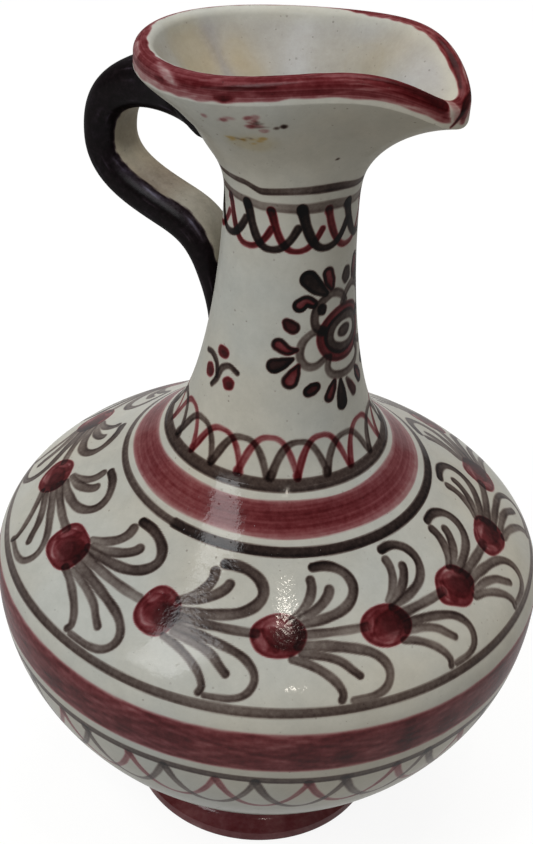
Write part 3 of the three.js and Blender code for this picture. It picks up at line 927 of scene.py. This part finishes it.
def capped_faces(rows, columns):
    """Quads of an open grid, and a fan to a pole at each end. The two poles follow the grid's points."""
    count = rows * columns
    column = np.arange(columns)
    after = (column + 1) % columns
    bottom = np.stack([after, column, np.full(columns, count)], -1)
    top = np.stack([column + count - columns, after + count - columns, np.full(columns, count + 1)], -1)
    return [grid_faces(rows, columns, False), bottom, top]


def belly_inside():
    """Profile of the seam face, the inner wall and the floor, going down."""
    outline = chain([SHOULDER, LOWER_WALL], np.linspace(1, 0, COARSE_ROWS))
    slope = np.gradient(outline, axis=0)
    wall = outline + BELLY_WALL * unit(np.stack([slope[:, 1], -slope[:, 0]], -1))
    floor_z = FOOT_HEIGHT + BELLY_FLOOR
    wall = wall[wall[:, 1] > floor_z + 1]
    mouth = SEAM_RADIUS - SEAM_WIDTH
    return [(mouth, SEAM_Z), (mouth, wall[0, 1]), *wall, (wall[-1, 0] - 1, floor_z), (1, floor_z)]


def make_belly(material):
    plain = np.arange(BELLY_LENGTH, BELLY_PAINTED, -BELLY_PLAIN_STEP)
    painted = np.linspace(BELLY_PAINTED, 0, int(BELLY_PAINTED / BELLY_STEP))
    canvas = Canvas(belly_place, np.concatenate([plain, painted]), BELLY_COLUMNS)
    paint_belly(canvas)
    base = rings(BELLY_COLUMNS, [(1, FOOT_HEIGHT), (FOOT_TOP_RADIUS / 2, FOOT_HEIGHT)])
    grid = np.concatenate([base, canvas.points, rings(BELLY_COLUMNS, belly_inside())])
    poles = [[0, 0, FOOT_HEIGHT], [0, 0, FOOT_HEIGHT + BELLY_FLOOR]]
    points = np.concatenate([grid.reshape(-1, 3), poles])
    bare_base = np.tile(BARE, (len(base) * BELLY_COLUMNS, 1))
    paint = np.concatenate([bare_base, packed(canvas.red, canvas.brown, canvas.stain)])
    make_skin("belly", points, capped_faces(len(grid), BELLY_COLUMNS), paint, material)


def neck_bore():
    """Profile of the bore and the spigot, going down and back up to the seam."""
    spigot = SEAM_RADIUS - SEAM_WIDTH - SLIP_GAP
    bore = spigot - SPIGOT_WALL
    throat = THROAT - (NECK_WALL, 0)
    foot = np.array([bore, SEAM_Z])
    curve = [throat, throat - (0, THROAT_PULL), foot + (0, NECK_FOOT_PULL), foot]
    wall = bezier(curve, np.linspace(0, 1, COARSE_ROWS))[1:]
    low = SEAM_Z - SPIGOT_DEPTH
    return [*wall, (bore, low), (spigot, low), (spigot, SEAM_Z)]


def make_neck(material):
    heights = np.concatenate([
        np.linspace(SEAM_Z, FLARE_TOP, int((FLARE_TOP - SEAM_Z) / NECK_STEP)),
        np.linspace(FLARE_TOP, ROLL_START, RIM_BAND_ROWS)[1:],
        np.linspace(ROLL_START, ROLL_END, ROLL_ROWS)[1:],
        np.linspace(ROLL_END, INSIDE_END, INSIDE_ROWS)[1:],
    ])
    canvas = Canvas(neck_place, heights, NECK_COLUMNS)
    paint_neck(canvas)
    grid = np.concatenate([canvas.points, rings(NECK_COLUMNS, neck_bore())])
    faces = [grid_faces(len(grid), NECK_COLUMNS, True)]
    paint = packed(canvas.red, canvas.brown, canvas.stain)
    make_skin("neck", grid.reshape(-1, 3), faces, paint, material)


def make_foot(material):
    middle = FOOT_RADIUS - FOOT_EDGE_ROUND
    turns = np.linspace(-math.pi / 2, 0, FOOT_EDGE_ROWS)
    edge = [(middle + FOOT_EDGE_ROUND * math.cos(t), FOOT_EDGE_ROUND * (1 + math.sin(t))) for t in turns]
    flare = [(lerp(FOOT_TOP_RADIUS, FOOT_RADIUS, (1 - s) ** 2), lerp(FOOT_EDGE_HEIGHT, FOOT_HEIGHT, s * s))
             for s in np.linspace(0, 1, FOOT_FLARE_ROWS)]
    recess = [(FOOT_RECESS_RADIUS, z) for z in np.linspace(FOOT_HEIGHT, 0, FOOT_PLAIN_ROWS)]
    sole = [(r, 0) for r in np.linspace(FOOT_RECESS_RADIUS, middle, FOOT_PLAIN_ROWS)[1:-1]]
    outline = np.array(edge + flare + recess + sole)
    rows = np.arange(len(outline))
    z = outline[:, 1:]
    angles = even_angles(FOOT_COLUMNS)
    painted = rows[:, None] < len(edge) + len(flare)
    red = wash(angles, rows, seed=14, pitch=7, depth=0.12, count=16, spread=7, fill=0.25)
    worn = bell(z, FOOT_WORN_HEIGHT) * smooth(0.7, 1.6, hand(angles, 16, 5, 24))
    thin_top = smooth(FOOT_HEIGHT - FOOT_THIN_TOP, FOOT_HEIGHT, z)
    red = painted * FOOT_RED * red * (1 - 0.75 * worn) * (1 - 0.4 * thin_top)
    brown = painted * FOOT_BROWN * smooth(0.2, 1.4, hand(angles, 17, 3, 12)) * (1 - worn)
    points = rings(FOOT_COLUMNS, outline).reshape(-1, 3)
    faces = [grid_faces(len(outline), FOOT_COLUMNS, True)]
    make_skin("foot_ring", points, faces, packed(red, brown, 0), material)


# Handle: a strap that runs from its root out to the ear, back in to the elbow and down to its tail
HANDLE_REACH = 50.4
HANDLE_TOP_Z = RIM_Z - 15.5
HANDLE_RISE = 2
EAR_Z = THROAT_Z + 2
ELBOW = (33, THROAT_Z - 12.3)
ELBOW_SLOPE = math.radians(16)
TAIL_Z = THROAT_Z - 42.5
HANDLE_TOP_PULL = 27
EAR_PULL_UP = 12
EAR_PULL_DOWN = 9
ELBOW_PULL = 9
TAIL_PULL = 27
HANDLE_THICKNESS = 8.6
ROOT_THICKNESS = 10.5
TAIL_THICKNESS = 3.4
TAIL_SINK = 1.7
HANDLE_INSET = 10
HANDLE_WIDTH = 13.5
ROOT_WIDTH = 16
HANDLE_SQUARENESS = 2.6
ROOT_SHARE = 0.3
TAIL_SHARE = 0.7
HANDLE_ROWS = 180
HANDLE_SIDES = 88
HANDLE_TUCK = 0.7
ARCH_SWELL = 2.8
ARCH_SWELL_SHARES = (0.5, 0.12)
TAIL_WRAP = 1.6
TAIL_NARROWING = 0.28
TAIL_NARROWING_SHARE = 0.82
FILLET_WIDTH = 2.6
FILLET_TOP = 0.8
FILLET_REACH = 4.5
FILLET_LIMITS = (-8, 0.15)
FILLET_SHARES = (0.42, 0.2)
WEB_DEPTH = 1.1
GLAZE_WIDE = 0.4
GLAZE_INSIDE = 0.6
HALVINGS = 24
FREE_NEAR_ROOT = 0.35
FREE_NEAR_TAIL = 0.6
ROOT_SAMPLES = 600
ROOT_ANGLES = np.linspace(90, 270, 181)
ROOT_HEIGHTS = np.linspace(SEAM_Z, RIM_Z, 500)


def root_radii():
    """Radii of the neck's outside on the handle's side, a row for each of the root angles."""
    walls = neck_place(ROOT_ANGLES[:, None], np.linspace(SEAM_Z, FLARE_TOP, ROOT_SAMPLES)[None, :])
    return np.stack([np.interp(ROOT_HEIGHTS, wall[:, 2], from_axis(wall)) for wall in walls])


ROOT_RADII = root_radii()


def neck_radius(angle, z):
    """Radius of the neck's outside on the handle's side, at angles and heights."""
    column = np.interp(np.asarray(angle) % 360, ROOT_ANGLES, np.arange(len(ROOT_ANGLES)))
    row = np.interp(z, ROOT_HEIGHTS, np.arange(len(ROOT_HEIGHTS)))
    left = np.minimum(column.astype(int), len(ROOT_ANGLES) - 2)
    below = np.minimum(row.astype(int), len(ROOT_HEIGHTS) - 2)
    left_wall = lerp(ROOT_RADII[left, below], ROOT_RADII[left, below + 1], row - below)
    right_wall = lerp(ROOT_RADII[left + 1, below], ROOT_RADII[left + 1, below + 1], row - below)
    return lerp(left_wall, right_wall, column - left)


def handle_path():
    """The strap's middle line as reach from the axis and height, with its length from the root."""
    slope = ELBOW_PULL * heading(ELBOW_SLOPE)
    root = np.array([THROAT_RADIUS, HANDLE_TOP_Z])
    ear = np.array([HANDLE_REACH, EAR_Z])
    elbow = np.array(ELBOW)
    tail = np.array([neck_radius(180, TAIL_Z) - TAIL_SINK, TAIL_Z])
    leaving = np.array([HANDLE_TOP_PULL, HANDLE_RISE])
    top = [root, root + leaving, ear + (0, EAR_PULL_UP), ear]
    back = [ear, ear - (0, EAR_PULL_DOWN), elbow + slope, elbow]
    down = [elbow, elbow - slope, tail + (0, TAIL_PULL), tail]
    inset = root - HANDLE_INSET * leaving / np.linalg.norm(leaving)
    path = np.vstack([inset, chain([top, back, down], FINE)])
    return path, length_along(path) - HANDLE_INSET


HANDLE_PATH, HANDLE_LENGTHS = handle_path()
HANDLE_LENGTH = HANDLE_LENGTHS[-1]
HANDLE_SLOPE = unit(np.gradient(HANDLE_PATH, axis=0))


def depth_in_neck(points):
    angle = np.degrees(np.arctan2(points[..., 1], points[..., 0]))
    return neck_radius(angle, points[..., 2]) - from_axis(points)


def squared(value):
    """Pushes a round section towards a rectangle."""
    return np.sign(value) * np.abs(value) ** (2 / HANDLE_SQUARENESS)


def strap_point(at, turn):
    """A point of the strap at a length along its path. Turn 0 is the middle of the outer face, which swells
    over the arch. Near the flare the strap spreads to its sides, and its inner face runs down the flare as
    a web. Its tail is wrapped round the neck."""
    reach, z = read_at(at, HANDLE_LENGTHS, HANDLE_PATH)
    run, climb = read_at(at, HANDLE_LENGTHS, HANDLE_SLOPE)
    share = np.maximum(at, 0) / HANDLE_LENGTH
    root = 1 - smooth(0, ROOT_SHARE, share)
    tail = smooth(TAIL_SHARE, 1, share)
    thick = lerp(lerp(HANDLE_THICKNESS, ROOT_THICKNESS, root), TAIL_THICKNESS, tail) / 2
    wide = lerp(HANDLE_WIDTH, ROOT_WIDTH, root) / 2 + GLAZE_WIDE
    wide = wide * (1 - TAIL_NARROWING * smooth(TAIL_NARROWING_SHARE, 1, share))
    outward = squared(np.cos(turn))
    inner = smooth(0.1, -1, np.cos(turn))
    swell = ARCH_SWELL * smooth(*ARCH_SWELL_SHARES, share) * np.maximum(outward, 0)

    def placed(spread):
        web = GLAZE_INSIDE * (1 - tail) + WEB_DEPTH * spread
        out = (thick + FILLET_TOP * spread) * outward + swell - web * inner
        side = (wide + FILLET_WIDTH * spread) * squared(np.sin(turn))
        wrap = TAIL_WRAP * tail * side ** 2 / (2 * THROAT_RADIUS)
        return np.stack([-(reach - climb * out - wrap), side, z + run * out], -1)

    sunk = depth_in_neck(placed(np.zeros(np.shape(share))))
    return placed(smooth(*FILLET_SHARES, share) * np.exp(np.clip(sunk / FILLET_REACH, *FILLET_LIMITS)))


def entry(turns, free, buried):
    """Lengths at which the strap's edges go under the neck's surface, found by halving."""
    free = np.full(len(turns), free)
    buried = np.full(len(turns), buried)
    for _ in range(HALVINGS):
        middle = (free + buried) / 2
        outside = depth_in_neck(strap_point(middle, turns)) < HANDLE_TUCK
        free = np.where(outside, middle, free)
        buried = np.where(outside, buried, middle)
    return free


# The strap's black: where it ends on the near and the far side, as the cosine of the turn, and its loads
BLACK_EDGE = (-0.84, -0.55)
BLACK_LOAD = 2.9
BLACK_THINNED = 1.3
# The black is paler in a strip along its lower edge: partly thin paint, partly a painted sheen
BLACK_THIN_AND_SHEEN = 1.4
BLACK_STAIN = -0.5
ROOT_BLACK = 0.9
ROOT_BLACK_FROM = 7.5
ROOT_BLACK_LENGTH = 7
BARE_STAIN = 0.12
# Brown on the bare inner face: painted shade all along it, and more part way down, partly painted shade and
# partly grime
INNER_SHADE_AND_GRIME = (0.12, 0.36)
INNER_SHADE_AND_GRIME_SHARES = (0.5, 0.6, 0.62, 0.69)
THIN_AND_SHEEN_SHARES = (0.44, 0.56, 0.7, 0.8)
THIN_AND_SHEEN_STRIP = (0.0, 0.05, 0.16, 0.4)
# Streaks along the strap: strength, count round it, sway, and the sway's seed and waves
STREAKS = [(1, 13, 2.2, 19, 1, 5), (0.7, 29, 1.4, 20, 2, 8)]


def handle_paint(turns, lengths):
    """Black outside, streaked along the strap, with a bare inner face that has a light brown wash as painted
    shade, darker part way down as painted shade and grime, and a paler, cooler strip along the black's lower
    edge, partly thin paint and partly a painted sheen. Near the root the black goes all round."""
    share = lengths / HANDLE_LENGTH
    along = share * 360
    ragged = 0.01 + 0.016 * smooth(0.42, 0.55, share)
    edge = lerp(*BLACK_EDGE, smooth(0.1, 0.5, np.sin(turns))) + ragged * hand(along, 18, 4, 30)
    edge = edge - ROOT_BLACK * np.exp(-np.maximum(lengths - ROOT_BLACK_FROM, 0) / ROOT_BLACK_LENGTH)
    past = np.cos(turns) - edge
    cover = smooth(-0.03, 0.03, past)
    streak = 0
    for strength, count, sway, *waves in STREAKS:
        streak = streak + strength * np.sin(turns * count + sway * hand(along, *waves))
    thin = smooth(0.5, 1.9, hand(along, 29, 2, 11) + 0.6 * streak)
    # Strip of paler black, partly thin paint and partly a painted sheen
    thin_and_sheen = between(*THIN_AND_SHEEN_SHARES, share) * between(*THIN_AND_SHEEN_STRIP, past)
    thin_and_sheen = thin_and_sheen * (0.8 + 0.16 * hand(along, 30, 6, 26))
    black = BLACK_LOAD - BLACK_THINNED * thin - BLACK_THIN_AND_SHEEN * np.clip(thin_and_sheen, 0, 1)
    # The bare inner face takes the painted shade and grime, and the rest takes the black
    brown = lerp(lerp(*INNER_SHADE_AND_GRIME, between(*INNER_SHADE_AND_GRIME_SHARES, share)), black, cover)
    return packed(0, brown, lerp(BARE_STAIN, BLACK_STAIN, cover))


def make_handle(material):
    turns = np.radians(even_angles(HANDLE_SIDES))
    starts = entry(turns, FREE_NEAR_ROOT * HANDLE_LENGTH, -HANDLE_INSET)
    ends = entry(turns, FREE_NEAR_TAIL * HANDLE_LENGTH, HANDLE_LENGTH)
    lengths = lerp(starts, ends, np.linspace(0, 1, HANDLE_ROWS)[:, None])
    grid = strap_point(lengths, turns[None, :])
    points = np.concatenate([grid.reshape(-1, 3), [grid[0].mean(axis=0), grid[-1].mean(axis=0)]])
    faces = [face[:, ::-1] for face in capped_faces(HANDLE_ROWS, HANDLE_SIDES)]
    make_skin("handle", points, faces, handle_paint(turns, lengths), material)


# Materials
WHITE = (1, 1, 1, 1)
CREAM = (0.445, 0.418, 0.35, 1)
COOL_WHITE = (0.415, 0.418, 0.383, 1)
SPECK_BROWN = (0.13, 0.105, 0.09, 1)
# Stain, red and brown: channel of the paint, light that a load of 1 lets through, scale and range of grain
PIGMENTS = [
    ("Blue", (0.85, 0.55, 0.2, 1), 60, 0.6, 1.3),
    ("Red", (0.22, 0.03, 0.04, 1), 520, 0.8, 1.16),
    ("Green", (0.185, 0.14, 0.135, 1), 800, 0.8, 1.16),
]
TONE_SCALE = 22
CLOUD_SCALE = 140
PIT_SCALE = 560
PIT_SIZES = (0.05, 0.2)
ROUGHNESS_SCALE = 75
ROUGHNESS = (0.22, 0.34)
WAVES = (160, 2.0, 0.6)
PEEL = (1000, 1.0, 0.3)
PIT_DEPTH = -1.1
BUMP_STRENGTH = 0.16
BUMP_DISTANCE = 0.0006
COAT = 0.3


class Nodes:
    """The nodes of a material or world, which start empty."""
    def __init__(self, owner):
        owner.use_nodes = True
        self.tree = owner.node_tree
        self.tree.nodes.clear()

    def add(self, kind, inputs=(), **settings):
        """A node's outputs. Each of its inputs is set to a number or colour, or linked to an output."""
        made = self.tree.nodes.new("ShaderNode" + kind)
        for key, value in settings.items():
            setattr(made, key, value)
        for key, value in dict(inputs).items():
            if isinstance(value, bpy.types.NodeSocket):
                self.tree.links.new(value, made.inputs[key])
            else:
                made.inputs[key].default_value = value
        return made.outputs

    def ranged(self, source, low, high, to_low, to_high):
        inputs = {"Value": source, "From Min": low, "From Max": high, "To Min": to_low, "To Max": to_high}
        return self.add("MapRange", inputs, clamp=True)["Result"]

    def combined(self, operation, first, second):
        return self.add("Math", {0: first, 1: second}, operation=operation)["Value"]

    def mixed(self, blend, factor, first, second):
        return self.add("Mix", {0: factor, 6: first, 7: second}, data_type="RGBA", blend_type=blend)[2]


def glaze_material(name, gloss=1.0, coat_roughness=0.11, grain=1.0):
    """Glossy tin glaze with pinholes and slow changes of tone, under pigment laid as the paint says.
    Grain is how strongly pinholes and fine changes of tone show."""
    material = bpy.data.materials.new(name)
    nodes = Nodes(material)
    where = nodes.add("TexCoord")["Object"]
    loads = nodes.add("SeparateColor", {"Color": nodes.add("Attribute", attribute_name="paint")["Color"]})

    def field(scale, detail=3.0, rough=0.55):
        inputs = {"Vector": where, "Scale": scale, "Detail": detail, "Roughness": rough}
        return nodes.add("TexNoise", inputs)["Fac"]

    colour = nodes.mixed("MIX", nodes.ranged(field(TONE_SCALE), 0.35, 0.65, 0, 1), CREAM, COOL_WHITE)
    cloud = nodes.ranged(field(CLOUD_SCALE, 6.0, 0.8), 0.3, 0.7, 1 - 0.1 * grain, 1 + 0.07 * grain)
    grey = nodes.add("CombineColor", {"Red": cloud, "Green": cloud, "Blue": cloud})["Color"]
    colour = nodes.mixed("MULTIPLY", 1.0, colour, grey)
    cells = nodes.add("TexVoronoi", {"Vector": where, "Scale": PIT_SCALE})
    pick = nodes.add("SeparateColor", {"Color": cells["Color"]})
    size = nodes.ranged(pick["Green"], 0, 1, *PIT_SIZES)
    pit = nodes.ranged(nodes.combined("DIVIDE", cells["Distance"], size), 0.5, 1, 1, 0)
    dirt = nodes.combined("MULTIPLY", pit, nodes.ranged(pick["Red"], 0.4, 0.95, 0.1 * grain, 0.5))
    colour = nodes.mixed("MIX", dirt, colour, SPECK_BROWN)
    for channel, pigment, scale, least, most in PIGMENTS:
        uneven = nodes.ranged(field(scale, 2.0, 0.7), 0.25, 0.75, least, most)
        load = nodes.combined("MULTIPLY", loads[channel], uneven)
        seen_through = nodes.add("Gamma", {"Color": pigment, "Gamma": load})["Color"]
        colour = nodes.mixed("MULTIPLY", 1.0, colour, seen_through)
    height = nodes.combined("MULTIPLY", pit, PIT_DEPTH)
    for scale, detail, share in (WAVES, PEEL):
        height = nodes.combined("ADD", height, nodes.combined("MULTIPLY", field(scale, detail), share))
    bump = {"Strength": BUMP_STRENGTH, "Distance": BUMP_DISTANCE, "Height": height}
    normal = nodes.add("Bump", bump)["Normal"]
    shader = nodes.add("BsdfPrincipled", {
        "Base Color": colour,
        "Roughness": nodes.ranged(field(ROUGHNESS_SCALE), 0.3, 0.7, *ROUGHNESS),
        "Specular IOR Level": 0.0,
        "Coat Weight": COAT * gloss,
        "Coat Roughness": coat_roughness,
        "Normal": normal,
        "Coat Normal": normal,
    })
    nodes.add("OutputMaterial", {"Surface": shader["BSDF"]})
    return material


# Stage
FLOOR_COLOUR = (0.4, 0.39, 0.37, 1)
FLOOR_GLOW = 0.66
FLOOR_STRENGTH = 1.36
FLOOR_HALF = 4.0
SKY_LIGHT = 0.38
SKY_SHOWN = 1.0
LAMP_TARGET = (0, 0, 0.11)
DAYLIGHT = (0.95, 0.98, 1.0)
NEUTRAL = (1, 1, 1)
LAMPLIGHT = (1.0, 0.93, 0.82)
# Lamps: name, direction from the target, distance, width, height, power, colour and shape
LAMPS = [
    ("window_softbox", (-0.2, -0.62, 0.76), 1.0, 0.3, 0.54, 5.6, DAYLIGHT, "RECTANGLE"),
    ("overhead_softbox", (-0.1, 0.45, 1.0), 1.2, 0.7, 0.7, 5.6, NEUTRAL, "RECTANGLE"),
    ("small_lamp", (0.24, -0.19, 0.95), 1.1, 0.05, 0.05, 0.6, LAMPLIGHT, "DISK"),
    ("second_lamp", (0.5, -0.5, 0.7), 1.1, 0.05, 0.05, 0.6, LAMPLIGHT, "DISK"),
]


def floor_material():
    """White to the camera and to reflections, with the jug's shadow kept."""
    material = bpy.data.materials.new("pale_floor")
    nodes = Nodes(material)
    ray = nodes.add("LightPath")
    seen = nodes.combined("ADD", ray["Is Camera Ray"], ray["Is Glossy Ray"])
    seen = nodes.combined("ADD", seen, ray["Is Transmission Ray"])
    share = nodes.combined("MULTIPLY", seen, FLOOR_GLOW)
    matt = nodes.add("BsdfDiffuse", {"Color": FLOOR_COLOUR})["BSDF"]
    glow = nodes.add("Emission", {"Color": WHITE, "Strength": FLOOR_STRENGTH})["Emission"]
    nodes.add("OutputMaterial", {"Surface": nodes.add("MixShader", {0: share, 1: matt, 2: glow})["Shader"]})
    return material


def make_floor():
    mesh = bpy.data.meshes.new("floor")
    corners = [(FLOOR_HALF * x, FLOOR_HALF * y, 0) for x, y in ((-1, -1), (1, -1), (1, 1), (-1, 1))]
    mesh.from_pydata(corners, [], [(0, 1, 2, 3)])
    mesh.materials.append(floor_material())
    floor = put("floor", mesh)


def make_lights():
    for name, direction, distance, width, height, power, colour, shape in LAMPS:
        lamp = bpy.data.lights.new(name, "AREA")
        lamp.color = colour
        lamp.shape = shape
        lamp.size = width
        lamp.size_y = height
        lamp.energy = power
        rig = put(name, lamp)
        away = Vector(direction).normalized()
        rig.location = Vector(LAMP_TARGET) + away * distance
        rig.rotation_euler = away.to_track_quat("Z", "Y").to_euler()
    world = bpy.data.worlds.new("studio")
    nodes = Nodes(world)
    strength = nodes.ranged(nodes.add("LightPath")["Is Camera Ray"], 0, 1, SKY_LIGHT, SKY_SHOWN)
    sky = nodes.add("Background", {"Color": WHITE, "Strength": strength})
    nodes.add("OutputWorld", {"Surface": sky["Background"]})
    bpy.context.scene.world = world


# Camera: fitted to the photograph, which is 533 by 844 pixels
PHOTO_HEIGHT = 844
FOCAL_PIXELS = 1450
CAMERA_ANGLE = math.radians(29.4)
CAMERA_DISTANCE = 295.68
CAMERA_HEIGHT = 318.87
CAMERA_PAN = math.radians(-0.477)
CAMERA_TILT = math.radians(34.496)
CAMERA_ROLL = math.radians(3.6)
SENSOR = 36.0
CLIP_START = 0.01


def make_camera():
    data = bpy.data.cameras.new("camera")
    data.sensor_width = SENSOR
    data.sensor_fit = "AUTO"
    data.lens = SENSOR * FOCAL_PIXELS / PHOTO_HEIGHT
    data.clip_start = CLIP_START
    camera = put("camera", data)
    place = Matrix.Rotation(CAMERA_ANGLE, 4, "Z") @ Vector((0, -CAMERA_DISTANCE, CAMERA_HEIGHT)) * MM
    facing = Matrix.Rotation(CAMERA_ANGLE - CAMERA_PAN, 4, "Z")
    facing = facing @ Matrix.Rotation(math.pi / 2 - CAMERA_TILT, 4, "X")
    facing = facing @ Matrix.Rotation(CAMERA_ROLL, 4, "Z")
    camera.matrix_world = Matrix.Translation(place) @ facing
    bpy.context.scene.camera = camera


make_camera()
make_belly(glaze_material("white_glaze_belly"))
make_neck(glaze_material("white_glaze_neck", gloss=0.45, coat_roughness=0.2))
make_foot(glaze_material("red_glaze_foot"))
make_handle(glaze_material("black_glaze_handle", gloss=0.42, coat_roughness=0.32, grain=2.2))
make_floor()
make_lights()
bpy.context.scene.view_settings.view_transform = "Standard"
